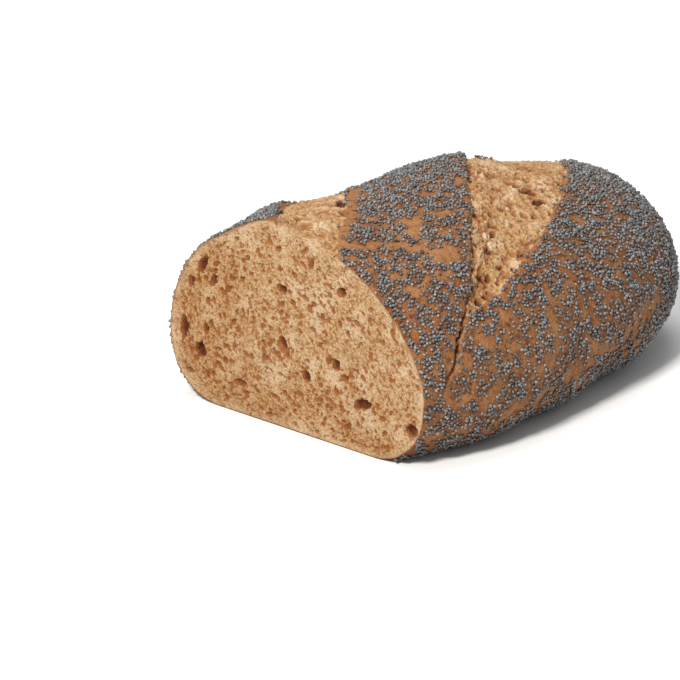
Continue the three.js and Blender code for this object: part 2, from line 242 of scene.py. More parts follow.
def select_faces(piece, chosen):
    """Leaves the piece in edit mode, with those of its faces selected that the rule chooses."""
    mode("EDIT")
    bpy.ops.mesh.select_mode(type="FACE")
    bpy.ops.mesh.select_all(action="DESELECT")
    mode("OBJECT")
    for face in piece.data.polygons:
        face.select = chosen(face)
    mode("EDIT")


def point_faces_out():
    mode("EDIT")
    bpy.ops.mesh.select_all(action="SELECT")
    bpy.ops.mesh.normals_make_consistent(inside=False)
    mode("OBJECT")


def put_faces_in_order(piece):
    """The same points and faces, with the faces sorted and each one starting at its first point."""
    points, faces = points_of(piece), []
    for face in piece.data.polygons:
        corners = list(face.vertices)
        first = corners.index(min(corners))
        faces.append(corners[first:] + corners[:first])
    piece.data.clear_geometry()
    piece.data.from_pydata(points, [], sorted(faces))


bpy.ops.mesh.primitive_uv_sphere_add(segments=SEGMENTS, ring_count=RINGS, radius=LOAF_HEIGHT / 2 * MM,
                                     location=(0, 0, 0))
crust = bpy.context.active_object
crust.name = "seeded_crust"
put_faces_in_order(crust)
ball = points_of(crust)
ring = np.rint(np.arctan2(np.hypot(ball[:, 0], ball[:, 1]), ball[:, 2]) / math.pi * RINGS).astype(int)
segment = np.rint(np.arctan2(ball[:, 1], ball[:, 0]) / (2 * math.pi) * SEGMENTS).astype(int) % SEGMENTS
print("a sphere of", len(ball), "points:", RINGS, "rings of", SEGMENTS)

# %% [markdown]
# ## Refined where it tears
#
# The rings and segments are spread evenly over the crust. Torn crumb needs far smaller faces than crust
# that seeds will cover, so only the faces by the tears are subdivided. The operator works out what its new
# points know, along and round, from the points beside them.

# %% Give every point its place, and subdivide the tears
TEAR_CUTS, TEAR_MARGIN = 2, 2.8
CREASE_MARGIN = 4  # a crease has small faces too, from this far above where its slash closes


def slash_end(round_):
    """How far round a slash closes, on the side that this place is on."""
    return np.where(round_ > 0, SLASH_NEAR, SLASH_FAR)


def slash_fade(round_):
    """How far a slash opens, from 1 at the top of the loaf to 0 where it closes on the flanks."""
    return np.sqrt(np.clip(1 - (round_ / slash_end(round_)) ** 2, 0, 1))


def past_lip_of(slash, along, round_):
    return along + slash["slant"] * round_ - slash["lip"]


way_round = np.clip(2 * segment / CRUST_SEGMENTS - 1, -1, 1)
along = even_stations(CRUST_RINGS + 1)[np.clip(ring - CAP_RINGS, 0, CRUST_RINGS)]
round_ = way_round * corner_round(along, way_round)
over_base = np.clip((segment - CRUST_SEGMENTS) / BASE_SEGMENTS, 0, 1)
paint(crust, along=along, round=round_, ring=ring, over_base=over_base)

near_tear = np.zeros(len(along), bool)
creased = np.abs(round_) > slash_end(round_) - CREASE_MARGIN
creased &= np.abs(round_) < slash_end(round_) + CREASE_RUN
for slash in SLASHES:
    past, opening = past_lip_of(slash, along, round_), slash["width"] * slash_fade(round_)
    near_tear |= (opening > 0) & (past > -TEAR_MARGIN) & (past < opening + TEAR_MARGIN)
    near_tear |= (np.abs(past) < TEAR_MARGIN) & creased
near_tear &= (ring >= CAP_RINGS) & (over_base == 0)
select_faces(crust, lambda face: all(near_tear[i] for i in face.vertices))
bpy.ops.mesh.subdivide(number_cuts=TEAR_CUTS)
mode("OBJECT")
ring, along, round_, over_base = (known_by(crust, name) for name in ("ring", "along", "round", "over_base"))
print("the crust has", len(crust.data.polygons), "faces now")

# %% [markdown]
# ## Wrapping it
#
# Now every point goes to its own place on the smooth loaf. Points of the base lie on the straight line
# between its two corners.

# %% Put the points on the smooth loaf
skin = read(SMOOTH_TABLE, along, round_)
normal = read(NORMAL_TABLE, along, round_)
far_corner = read(SMOOTH_TABLE, along, -corner_round(along, np.full_like(along, -1)))
skin += (far_corner - skin) * over_base[:, None]
print("the smooth loaf measures", np.ptp(placed(skin), axis=0).round(1), "mm")

# %% [markdown]
# ## Ridges, tears and creases
#
# In the oven the dough bursts along the slashes. It lifts one side of each, the lip, so the crust swells
# towards it and drops sharply at it. The floor of the tear is dough that baked open: craggy, with pits.
# Each point moves along the normal of the smooth loaf, as under a sculpt brush, by rules that read where
# on the loaf it is.

# %% Rough surfaces from noise
OCTAVE_FADE, OCTAVE_STEP = 0.8, 2  # how much weaker and finer each octave of the noise is
CRAG_SHARPNESS, CURD_FULLNESS = 3.2, 1.7


def rough(points, size, octaves=3, shift=0.0):
    """Fractal noise, roughly between -1 and 1, with lumps this many millimetres across."""
    shifted = points / size + shift
    return np.array([noise.fractal(p, OCTAVE_FADE, OCTAVE_STEP, octaves) for p in shifted])


def crags(points, size, octaves):
    """Sharp ridges between rounded hollows, from about -1 to 1."""
    return 1 - CRAG_SHARPNESS * np.abs(rough(points, size, octaves))


def curds(points, size, shift=0.0):
    """Rounded lumps, from 0 in the valleys between them to about 1 on top."""
    gaps = np.array([noise.voronoi(p)[0][:2] for p in points / size + shift])
    return np.sqrt(np.clip(CURD_FULLNESS * (gaps[:, 1] - gaps[:, 0]), 0, 1))


# %% Bowls for pores and pits
BOWL_REACH, BOWL_ROUNDNESS = 1.4, 0.45  # how far past its size a frayed bowl may reach; less is steeper


def turned(x, y, degrees):
    c, s = math.cos(math.radians(degrees)), math.sin(math.radians(degrees))
    return c * x + s * y, c * y - s * x


def tree_of(flat):
    tree = kdtree.KDTree(len(flat))
    for i, (x, y) in enumerate(flat):
        tree.insert((x, y, 0), i)
    tree.balance()
    return tree


def carve(flat, pores, fray, depth_share):
    """The depth of a crowd of bowls, each (across, up, half-width, half-height, turn), at flat places."""
    tree, depth = tree_of(flat), np.zeros(len(flat))
    for across, up, half_width, half_height, turn in pores:
        found = tree.find_range((across, up, 0), BOWL_REACH * max(half_width, half_height))
        near = np.array([i for _, i, _ in found], int)
        dx, dy = turned(flat[near, 0] - across, flat[near, 1] - up, turn)
        away = np.hypot(dx / half_width, dy / half_height) * fray[near]
        bowl = np.clip(1 - away**2, 0, 1) ** BOWL_ROUNDNESS * min(half_width, half_height) * depth_share
        depth[near] = np.maximum(depth[near], bowl)
    return depth


# %% The ridges, lumps and floors that the rules give
TIP_BLEND, FOOT_BLEND = 12, 14  # relief fades out over this far towards the tip and the base
RIDGE_DROP = 8


def ridges(along, round_):
    height = np.zeros_like(along)
    for slash in SLASHES:
        t = (past_lip_of(slash, along, round_) + RIDGE_LENGTH) / (RIDGE_LENGTH + RIDGE_DROP)
        height += slash["ridge"] * np.sin(math.pi * np.clip(t, 0, 1) ** 3)
    return height * slash_fade(round_)


def lumps(along, round_):
    slow = np.sin(along / 9 + 1.3) * np.sin(round_ / 11 + 0.4)
    quick = np.sin(along / 5.3 + round_ / 7.1 + 2)
    return LUMP * (slow + 0.5 * quick)


def floor_depth(slash, share):
    at_lip, middle, at_edge = slash["floor"]
    return at_lip + (middle - at_lip) * smooth(2.2 * share) + (at_edge - middle) * smooth(2.2 * share - 1.2)


def crease_depth(past_lip, round_):
    """How deep the groove is in which a slash runs on down either flank."""
    t = (np.abs(round_) - slash_end(round_) + CREASE_OVERLAP) / CREASE_RUN
    fade = np.sin(math.pi * np.clip(0.15 + 0.85 * t, 0, 1)) * ((t > 0) & (t < 1))
    aside = np.abs(past_lip) / (CREASE_WIDTH / 2)
    return CREASE_DEPTH * fade * np.clip(1 - aside, 0, 1) ** 1.2


# %% The relief of the crust
LIP_WALL, EDGE_WALL = 0.8, 1.6  # over this much slant the crust drops to the torn floor
RAGGED_LIP, RAGGED_EDGE = 2.0, 5.2  # how strongly the torn edges wander
PILED = 1.6  # the torn crumb is piled up in places by the lip
PITS = (  # along, round, half-sizes and turn of the largest pits in the torn floors
    (101, 13, 3.2, 1.7, 30), (103, 20, 3.4, 2.0, 40), (103, 27, 3.0, 2.0, 20), (111, 21, 2.0, 1.4, 60),
    (122, 20, 3.4, 2.0, 70), (84, 26, 2.2, 1.3, 30), (62, 43, 1.1, 3.8, -62), (48, 53, 1.1, 3.4, -55),
    (72, 33, 1.2, 3.0, -50), (92, 14, 1.4, 2.2, -30), (118, 2, 2.4, 1.4, 20), (97, 4, 1.6, 1.2, 0),
    (40, 61, 1.6, 1.6, 0), (45, 60, 1.8, 1.2, 0), (39, -12, 3.0, 7.0, 50), (30, -3, 1.5, 2.4, 30),
    (7, 9, 2.2, 1.0, 40), (4, 18, 2.2, 1.2, 40),
)
ISLAND = (116, -17, 3.4, 2.4)  # along, round and half-sizes of a bit of crust left in a tear
FINE_BLEND = 2.5  # the crags fade out this close to the cut
SMALL_PITS = 1300
PIT_RADIUS, PIT_SPREAD, PIT_LIMIT = 0.55, 0.4, 1.5
PIT_FRAY, PIT_DEPTH = 0.3, 0.95  # how ragged a pit is, and its depth as a share of its size
WANDER_SIZE, FINE_WANDER = 6, (0.5, 2.2)  # the torn edges follow noises: strength and size
RIPPLE = (0.3, 5)  # and so do the ripples of the crust
TORN_SWELL, TORN_CRAG, TORN_CURD, TORN_GRAIN = (0.7, 9), (0.45, 4.6), (0.75, 2.4), (0.3, 1.3)
CURD_MIDDLE = 0.6
STRAND_HEIGHT, STRAND_WIDTH, STRAND_LENGTH = 1.1, 1.6, 9  # torn strands run down from the lip
RUGGEDNESS = 0.8
HOLLOW_START, HOLLOW_RISE, HOLLOW_LIMIT = 0.08, 0.6, 0.6  # how hollow the low places count, for the painted shade in them
DEEP_PIT = 1.6  # a pit this deep is wholly hollow, with full painted shade


def drawn_pits(draw):
    """Small pits, all over the torn floors."""
    pits = []
    for _ in range(SMALL_PITS):
        slash = SLASHES[draw.integers(len(SLASHES))]
        round_at = draw.uniform(-SLASH_FAR, SLASH_NEAR)
        along_at = slash["lip"] - slash["slant"] * round_at + draw.random() * slash["width"]
        radius = min(PIT_RADIUS * math.exp(draw.normal(0, PIT_SPREAD)), PIT_LIMIT)
        pits.append((along_at, round_at, radius * draw.uniform(0.7, 1), radius * draw.uniform(1, 1.7),
                     draw.uniform(20, 80)))
    return pits


def relief(along, round_, points):
    """The height over the smooth loaf, and how torn, how hollow and how creased each place is."""
    fade = slash_fade(round_)
    wander = rough(points, WANDER_SIZE, 4, 3) + FINE_WANDER[0] * rough(points, FINE_WANDER[1], 2, 7)
    height = ridges(along, round_) + lumps(along, round_) + RIPPLE[0] * rough(points, RIPPLE[1], 4)
    height *= smooth((LOAF_LENGTH - along) / TIP_BLEND)
    torn, crease, hollow = np.zeros_like(along), np.zeros_like(along), np.zeros_like(along)
    for slash in SLASHES:
        past_lip = past_lip_of(slash, along, round_) + RAGGED_LIP * wander
        opening = slash["width"] * fade + RAGGED_EDGE * wander * np.minimum(1, 3 * fade)
        inside = smooth(past_lip / LIP_WALL) * smooth((opening - past_lip) / EDGE_WALL)
        away = np.hypot((along - ISLAND[0]) / ISLAND[2], (round_ - ISLAND[1]) / ISLAND[3])
        inside *= smooth(2.2 * (away + wander) - 1.4)
        at = np.flatnonzero(inside > 0)
        near, share = points[at], np.clip(past_lip[at] / opening[at], 0, 1)
        strands = np.stack([past_lip[at] / STRAND_WIDTH, round_[at] / STRAND_LENGTH, 0 * share], axis=1)
        strands = STRAND_HEIGHT * rough(strands, 1, 3)
        rugged = TORN_SWELL[0] * rough(near, TORN_SWELL[1], 2) + TORN_CRAG[0] * crags(near, TORN_CRAG[1], 3)
        rugged += TORN_CURD[0] * (curds(near, TORN_CURD[1]) - CURD_MIDDLE)
        grain = TORN_GRAIN[0] * (curds(near, TORN_GRAIN[1], 5) - CURD_MIDDLE)
        rugged += grain + strands * smooth(1.4 - 3 * share)
        rugged *= smooth(along[at] / FINE_BLEND)
        piled = PILED * np.clip(rough(near, 7, 2, 11), 0, 1) * smooth(1.2 - 2.5 * share)
        floor = (RUGGEDNESS * rugged + piled - floor_depth(slash, share)) * np.minimum(1, fade[at] * 1.5)
        height[at] = height[at] * (1 - inside[at]) + floor * inside[at]
        torn = np.maximum(torn, inside)
        low = np.clip(HOLLOW_START - HOLLOW_RISE * rugged, 0, HOLLOW_LIMIT)
        hollow[at] = np.maximum(hollow[at], low * inside[at])
        groove = crease_depth(past_lip, round_) * (1 - inside)
        height -= groove
        crease = np.maximum(crease, groove / CREASE_DEPTH)
    at = np.flatnonzero(torn > 0.05)
    pits = PITS + tuple(drawn_pits(np.random.default_rng(41)))
    flat = np.stack([along, round_], axis=1)[at]
    carved = carve(flat, pits, 1 + PIT_FRAY * wander[at], PIT_DEPTH) * torn[at]
    height[at] -= carved
    hollow[at] = np.clip(hollow[at] + carved / DEEP_PIT, 0, 1)
    return height, torn, hollow, crease


height, torn, hollow, crease = relief(along, round_, skin)
foot = smooth((corner_round(along, round_) - np.abs(round_)) / FOOT_BLEND)
height = np.where((over_base > 0) | (ring < CAP_RINGS - 0.5), 0, height * foot)
sculpted = skin + normal * height[:, None]
print("the relief runs from", height.min().round(2), "to", height.max().round(2), "mm")

# %% [markdown]
# ## The end where it is cut
#
# The knife leaves a thin rim of crust round the crumb. It is the crust's own skin turned inwards, and
# inside it the end is recessed, so that the crumb can be a piece of its own with finer faces.

# %% Turn the rim in and recess the end
RIM, RECESS = 0.4, 4.0
LEAST_ALONG = 0.02  # no crust beyond the rim comes closer to the cut
CUT_HEART = np.array([0, 36.0])  # across and up, the middle that the rings of the end close on
HARD_EDGE = math.radians(66)
FOOT_SHADE_LOW, FOOT_SHADE_HIGH = 1.5, 15  # the foot is darker up to here: painted shade, and partly baked darker

at_edge = np.flatnonzero(np.abs(ring - CAP_RINGS) < 0.01)
at_edge = at_edge[np.argsort(np.arctan2(skin[at_edge, 2] - CUT_HEART[1], skin[at_edge, 1] - CUT_HEART[0]))]
sculpted[at_edge, 0] = 0
edge = sculpted[at_edge, 1:]
edge_turn = np.arctan2(*(edge - CUT_HEART).T[::-1])
edge_reach = np.hypot(*(edge - CUT_HEART).T)


def on_end(turn, inset):
    """Across and up of a place this far inside the edge of the cut, seen from its heart."""
    reach = np.interp(turn, edge_turn, edge_reach, period=2 * math.pi) - inset
    return CUT_HEART + np.stack([np.cos(turn), np.sin(turn)], axis=1) * reach[:, None]


for cap_ring, depth in ((2, 0), (1, RECESS)):
    at_ring = np.flatnonzero(ring == cap_ring)
    turn = np.arctan2(skin[at_ring, 2] - CUT_HEART[1], skin[at_ring, 1] - CUT_HEART[0])
    sculpted[at_ring] = np.column_stack([np.full(len(turn), depth), on_end(turn, RIM)])
sculpted[ring == 0] = (RECESS, *CUT_HEART)
sculpted[ring > CAP_RINGS, 0] = np.maximum(sculpted[ring > CAP_RINGS, 0], LEAST_ALONG)
move_points(crust, placed(sculpted) * MM)
# painted shade at the foot, where the crust is also baked darker
scorched = 1 - smooth((sculpted[:, 2] - FOOT_SHADE_LOW) / (FOOT_SHADE_HIGH - FOOT_SHADE_LOW))
paint(crust, torn=torn, hollow=hollow, crease=crease, cap=ring < CAP_RINGS, scorched=scorched)
print("the end of the crust is", RECESS, "mm deep")

# %% [markdown]
# ## One clean skin
#
# The flat base needs no small faces, so they are dissolved into one. Then the crust is shaded smooth, with
# hard edges kept only where the knife went.

# %% Dissolve the base and shade the crust
FACES_DOWN, ON_FLOOR = -0.999, 0.01 * MM

point_faces_out()
select_faces(crust, lambda face: face.normal.z < FACES_DOWN and face.center.z < ON_FLOOR)
bpy.ops.mesh.dissolve_limited(angle_limit=math.radians(1))
mode("OBJECT")
bpy.ops.object.shade_smooth_by_angle(angle=HARD_EDGE)
crust.data.calc_loop_triangles()
print("the crust has", len(crust.data.loop_triangles), "triangles")

# %% [markdown]
# ## The crumb that the cut shows
#
# The crumb is a slab that fills the recess. Its front starts as a grid, which a round map turns into an
# oval of even faces, and its edge is extruded backwards and closed. Booleans could cut the pores, but
# carving the grid is quicker and leaves soft, torn rims.

# %% Add the sheet of crumb and close it at the back
CRUMB_ACROSS, CRUMB_UP, CRUMB_DEPTH = 372, 214, 5.5

bpy.ops.mesh.primitive_grid_add(x_subdivisions=CRUMB_ACROSS, y_subdivisions=CRUMB_UP, size=2,
                                location=(0, 0, 0))
crumb = bpy.context.active_object
crumb.name = "open_crumb"
put_faces_in_order(crumb)


def rounded(square):
    """The turn and the reach from 0 to 1 of the places that points of a square take in a disc."""
    u, v = square[:, :2].T
    u, v = u * np.sqrt(1 - v**2 / 2), v * np.sqrt(1 - u**2 / 2)
    return np.arctan2(v, u), np.minimum(np.hypot(u, v), 1)


turn, reach = rounded(points_of(crumb))
sheet = CUT_HEART + (on_end(turn, RIM) - CUT_HEART) * reach[:, None]
mode("EDIT")
bpy.ops.mesh.select_all(action="SELECT")
bpy.ops.mesh.region_to_loop()
bpy.ops.mesh.extrude_region_move()
bpy.ops.mesh.edge_face_add()
mode("OBJECT")
front = len(sheet)
back_turn = rounded(points_of(crumb)[front:])[0]
print("a sheet of", front, "points, closed by", len(back_turn), "behind")

# %% Draw the pores
PORES = (  # across, up, half-width, half-height and turn in degrees of the largest pores
    (54, 27, 1.9, 5, 6), (46, 20, 2.8, 3, 0), (44, 54, 1.8, 4, 32), (39, 49, 1.5, 3, 30),
    (50, 46, 1.5, 2.6, 8), (43, 29, 1.5, 2.2, 0), (6, 54, 2.5, 1.8, 10), (-22, 60, 2.1, 1.8, 0),
    (-5, 23, 2, 2.2, 0), (6, 33, 2, 2.5, -15), (-19, 31, 2, 2.2, 20), (-31, 19, 4.2, 2.2, -12),
    (-54, 15, 2.6, 2.6, 0), (27, 12, 3.8, 1.3, -8), (30, 52, 1.2, 1.2, 0), (25, 53, 1.2, 1.2, 0),
    (-8, 67, 1.3, 2.4, 15), (4, 29, 1.2, 1.4, 0), (15, 25, 1.3, 1.3, 0), (21, 24, 1.0, 1.3, 0),
    (-23, 27, 2, 1.4, 0), (-29, 31, 1, 1, 0), (-40, 16, 1.1, 1.1, 0), (-52, 46, 1, 2.2, -20),
    (-13, 48, 1.2, 1.6, 0), (-18, 52, 1, 1.5, 0), (22, 62, 1.3, 1, 0), (17, 66, 1, 1, 0),
    (10, 11, 2.4, 1, 5), (34, 19, 1.2, 1.6, 0),
)
SMALL_PORES = 5400
PORE_RADIUS, PORE_SPREAD, PORE_LIMIT = 0.37, 0.46, 1.35
PORE_FRAY, PORE_DEPTH = (0.22, 1.6), 1.1  # how ragged pores are, over what size, and how deep
DEEP_PORE = 2  # a pore this deep is wholly hollow, with full painted shade
DENSE_EDGE = 10  # by the crust the crumb is denser, over this width
SHEET_DEPTH, SHEET_WAVES, RIM_BLEND = 0.12, ((0.2, 6), (0.12, 1.3)), 0.4  # how the knife's face waves
UNDER_RIM = 0.05  # the back of the slab is this much wider than its face
GOLDEN_WIDTH, GOLDEN_FOOT = 50, 24  # the crumb grows darker and more golden towards the +Y flank and the base
GOLDEN_LEAST, GOLDEN_ASIDE, GOLDEN_BELOW = 0.15, 0.85, 0.5


def drawn_pores(draw):
    """Small pores all over the cut, longer along the crust than across it."""
    pores = []
    while len(pores) < SMALL_PORES:
        across, up = draw.uniform(-68, 68), draw.uniform(0, LOAF_HEIGHT)
        turn = math.atan2(up - CUT_HEART[1], across - CUT_HEART[0])
        reach = np.interp(turn, edge_turn, edge_reach, period=2 * math.pi)
        radius = min(PORE_RADIUS * math.exp(draw.normal(0, PORE_SPREAD)), PORE_LIMIT)
        inward = reach - math.hypot(across - CUT_HEART[0], up - CUT_HEART[1])
        if inward > RIM + radius and draw.random() < 0.4 + inward / DENSE_EDGE:
            longer = radius * draw.uniform(1, 1.7)
            pores.append((across, up, radius * draw.uniform(0.75, 1), longer,
                          math.degrees(turn) + draw.normal(0, 30)))
    return pores


pores = PORES + tuple(drawn_pores(np.random.default_rng(5)))
print(len(pores), "pores drawn")

# %% Carve them
in_space = np.column_stack([np.zeros(front), sheet])
fray = 1 + PORE_FRAY[0] * rough(in_space, PORE_FRAY[1], 2, 9)
carved = carve(sheet, pores, fray, PORE_DEPTH)
edge_tree = tree_of(edge)
nearest = [edge_tree.find((y, z, 0)) for y, z in sheet]
rim = np.array([distance for _, _, distance in nearest]) - RIM
rim_torn = torn[at_edge][[i for _, i, _ in nearest]]
(slow, slow_size), (quick, quick_size) = SHEET_WAVES
wave = slow * rough(in_space, slow_size, 4, 2) + quick * rough(in_space, quick_size, 2, 4)
dent = smooth(rim / RIM_BLEND) * np.maximum(carved + SHEET_DEPTH + wave, 0)
golden_side = GOLDEN_LEAST + GOLDEN_ASIDE * smooth(sheet[:, 0] / GOLDEN_WIDTH)
golden_side += GOLDEN_BELOW * smooth(1 - sheet[:, 1] / GOLDEN_FOOT)
spread_back = on_end(back_turn, RIM - UNDER_RIM)
crumb_points = np.vstack([np.column_stack([dent, sheet]),
                          np.column_stack([np.full(len(spread_back), CRUMB_DEPTH), spread_back])])
move_points(crumb, placed(crumb_points) * MM)
# how hollow each point is, for the painted shade in the pores
hollow = np.clip(carved / DEEP_PORE, 0, 1) * smooth(rim)
for name, values in (("hollow", hollow), ("rim", rim), ("torn", rim_torn), ("golden_side", golden_side)):
    paint(crumb, **{name: np.append(values, np.zeros(len(back_turn)))})
point_faces_out()
bpy.ops.object.shade_smooth_by_angle(angle=HARD_EDGE)
crumb.data.calc_loop_triangles()
print("the crumb has", len(crumb.data.loop_triangles), "triangles, the deepest pore",
      carved.max().round(1), "mm")

# %% [markdown]
# ## A small kit for finishes
#
# Each finish is a network of nodes around one Principled shader. All of them read the object's own
# coordinates in millimetres, so a noise of size 2 has lumps about 2 mm across.

# %% A kit for node networks


class Finish:
    """One material, with a short call for each kind of node that the finishes use."""

    def __init__(self, name, roughness, specular=0.5):
        self.material = bpy.data.materials.new(name)
        self.material.use_nodes = True
        self.tree = self.material.node_tree
        self.shader = self.tree.nodes["Principled BSDF"]
        self.shader.inputs["Roughness"].default_value = roughness
        self.shader.inputs["Specular IOR Level"].default_value = specular
        place = self.tree.nodes.new("ShaderNodeTexCoord")
        in_mm = self.add("ShaderNodeMapping", {"Vector": place.outputs["Object"], "Scale": (1 / MM,) * 3})
        self.place = in_mm.outputs["Vector"]

    def add(self, kind, inputs, **settings):
        node = self.tree.nodes.new(kind)
        for name, value in settings.items():
            setattr(node, name, value)
        for name, value in inputs.items():
            if isinstance(value, bpy.types.NodeSocket):
                self.tree.links.new(value, node.inputs[name])
            else:
                node.inputs[name].default_value = value
        return node

    def known(self, name):
        """What the points know, such as how torn they are."""
        return self.add("ShaderNodeAttribute", {}, attribute_name=name).outputs["Fac"]

    def noise(self, size, detail=3, roughness=0.55):
        inputs = {"Vector": self.place, "Scale": 1 / size, "Detail": detail, "Roughness": roughness}
        return self.add("ShaderNodeTexNoise", inputs).outputs["Fac"]

    def cells(self, size):
        return self.add("ShaderNodeTexVoronoi", {"Vector": self.place, "Scale": 1 / size}).outputs["Distance"]

    def step(self, value, low, high, to_low=0.0, to_high=1.0):
        """Rises smoothly from one value to another as the input goes from low to high."""
        inputs = {"Value": value, "From Min": low, "From Max": high, "To Min": to_low, "To Max": to_high}
        return self.add("ShaderNodeMapRange", inputs, interpolation_type="SMOOTHSTEP").outputs["Result"]

    def math(self, operation, a, b):
        return self.add("ShaderNodeMath", {0: a, 1: b}, operation=operation).outputs[0]

    def mix(self, share, a, b, how="MIX"):
        inputs = {0: share, 6: a, 7: b}
        return self.add("ShaderNodeMix", inputs, data_type="RGBA", blend_type=how).outputs[2]

    def over(self, shade, colour, value, low, high, share=1.0):
        """Lays a colour over the shade, up to this share, as a value goes from low to high."""
        return self.mix(self.step(value, low, high, 0, share), shade, colour)

    def bumps(self, height, depth, before=None):
        inputs = {"Height": height, "Distance": depth * MM, "Strength": 1.0}
        if before is not None:
            inputs["Normal"] = before
        return self.add("ShaderNodeBump", inputs).outputs["Normal"]

    def finish(self, colour, normal):
        self.tree.links.new(colour, self.shader.inputs["Base Color"])
        self.tree.links.new(normal, self.shader.inputs["Normal"])
        return self.material


def colour(red, green, blue):
    """A colour picked on a screen, as the shader wants it."""
    screen = np.array([red, green, blue]) / 255
    straight = np.where(screen < 0.04045, screen / 12.92, ((screen + 0.055) / 1.055) ** 2.4)
    return (*straight.tolist(), 1)


# %% [markdown]
# ## The finish of the crumb, the tears and the crust
#
# The crumb is pale tan, and more orange inside its pores, where light has passed through bread. Painted
# shade darkens its deep pores and pits. The crust is brown and mottled, with painted shade between the seeds,
# in the creases and at the foot, which is also baked darker. One network makes the crumb of both pieces,
# because the cut runs into a tear.

# %% Colours of the bread
CUT_CRUMB = (colour(143, 97, 54), colour(176, 146, 106), colour(193, 170, 138))
TORN_CRUMB = (colour(152, 104, 57), colour(178, 145, 102), colour(206, 182, 148))
GOLDEN_TINT = colour(230, 205, 170)
# painted shade, orange from light through the bread, in pores, and darker in pits
PORE_SHADE, PIT_SHADE = colour(138, 80, 35), colour(84, 38, 14)
CRUST, CRUST_DARK, CRUST_LIGHT = colour(136, 86, 47), colour(80, 42, 20), colour(162, 114, 70)
# painted shade: redder between the seeds, nearly black in the creases
SHADE_BETWEEN_SEEDS, CREASE_SHADOW = colour(104, 53, 26), colour(58, 28, 13)
CUT_HOLLOW, TORN_HOLLOW = (0.32, 0.9), (0.45, 0.78)  # where the painted shade of a hollow is full, and its share


def crumb_colour(f, dark, middle, light, full_hollow, hollow_share):
    """Tan crumb with tiny painted pores, and painted shade, more orange and darker, in deeper places."""
    shade = f.over(dark, middle, f.noise(1.1, 4, 0.65), 0.36, 0.58)
    shade = f.over(shade, light, f.noise(9), 0.42, 0.7, 0.7)
    shade = f.over(shade, PORE_SHADE, f.cells(1.2), 0.34, 0.14, 0.55)
    shade = f.over(shade, PORE_SHADE, f.cells(0.6), 0.28, 0.10, 0.5)
    # painted shade in the hollows: orange, then dark in the deepest pits
    shade = f.over(shade, PORE_SHADE, f.known("hollow"), 0.04, full_hollow, hollow_share)
    return f.over(shade, PIT_SHADE, f.known("hollow"), 0.46, 0.9, 0.92)


def crust_colour(f):
    """Mottled brown, lighter where bare, with painted shade between the seeds, in creases and at the foot."""
    shade = f.over(CRUST_DARK, CRUST, f.noise(3.0, 4), 0.28, 0.53)
    shade = f.over(shade, CRUST_LIGHT, f.noise(1.3), 0.5, 0.7, 0.55)
    shade = f.over(shade, CRUST_LIGHT, f.noise(13), 0.48, 0.72, 0.45)
    # painted shade between the seeds, redder and darker where the coat is thick
    shade = f.over(shade, SHADE_BETWEEN_SEEDS, f.known("coated"), 0.3, 1, 0.55)
    shade = f.over(shade, CRUST_LIGHT, f.known("bare"), 0.2, 1, 0.45)
    shade = f.over(shade, CRUST_DARK, f.noise(1.9, 4), 0.44, 0.34, 0.5)
    # painted shade in the creases
    shade = f.over(shade, CRUST_DARK, f.known("crease"), 0.15, 0.5, 0.75)
    shade = f.over(shade, CREASE_SHADOW, f.known("crease"), 0.45, 0.8, 0.9)
    shade = f.over(shade, CUT_CRUMB[1], f.known("cap"), 0.05, 0.9, 0.55)
    # painted shade at the foot, where the crust is also baked darker
    return f.over(shade, CRUST_DARK, f.known("scorched"), 0, 1, 0.7)


# %% Finish the crust and its tears
def crust_finish():
    f = Finish("crust_and_torn_crumb", 0.7, 0.3)
    crust_shade, torn_shade = crust_colour(f), crumb_colour(f, *TORN_CRUMB, *TORN_HOLLOW)
    shade = f.mix(f.step(f.known("torn"), 0.35, 0.85), crust_shade, torn_shade)
    bump = f.bumps(f.noise(2.6, 4, 0.6), 0.9)
    return f.finish(shade, f.bumps(f.noise(0.9, 4, 0.6), 0.45, bump))


def crumb_finish():
    f = Finish("cut_crumb", 0.8, 0.2)
    crusted = f.math("SUBTRACT", 1.0, f.step(f.known("torn"), 0.3, 0.8))
    ragged = f.math("ADD", f.known("rim"), f.math("MULTIPLY", f.noise(1.6), 1.6))
    shade = crumb_colour(f, *CUT_CRUMB, *CUT_HOLLOW)
    shade = f.mix(f.step(f.known("golden_side"), 0, 1, 0, 0.5), shade, GOLDEN_TINT, "MULTIPLY")
    shade = f.over(shade, CUT_CRUMB[2], ragged, 4.5, 1.2, 0.3)
    edge_shade = f.math("MULTIPLY", f.step(ragged, 1.35, 0.8, 0, 0.65), crusted)
    shade = f.mix(edge_shade, shade, CRUST)
    bump = f.bumps(f.step(f.cells(0.9), 0.1, 0.42), 0.3)
    return f.finish(shade, f.bumps(f.noise(0.8, 4, 0.65), 0.4, bump))


for piece, finish in ((crust, crust_finish()), (crumb, crumb_finish())):
    piece.data.materials.append(finish)
    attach(piece, "root")
    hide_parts("loaf")
    print(piece.name, "is finished with", finish.name)

# %% [markdown]
# ## Poppy seeds
#
# A poppy seed is a tiny kidney, a little over 1 mm long. Each one is a real mesh here, so one seed of each
# kind is modelled and its copies are joined from arrays. They are thrown on the crust by a seeded rule:
# more where the coat is thick, none on torn crumb, and never closer together than seeds can lie.

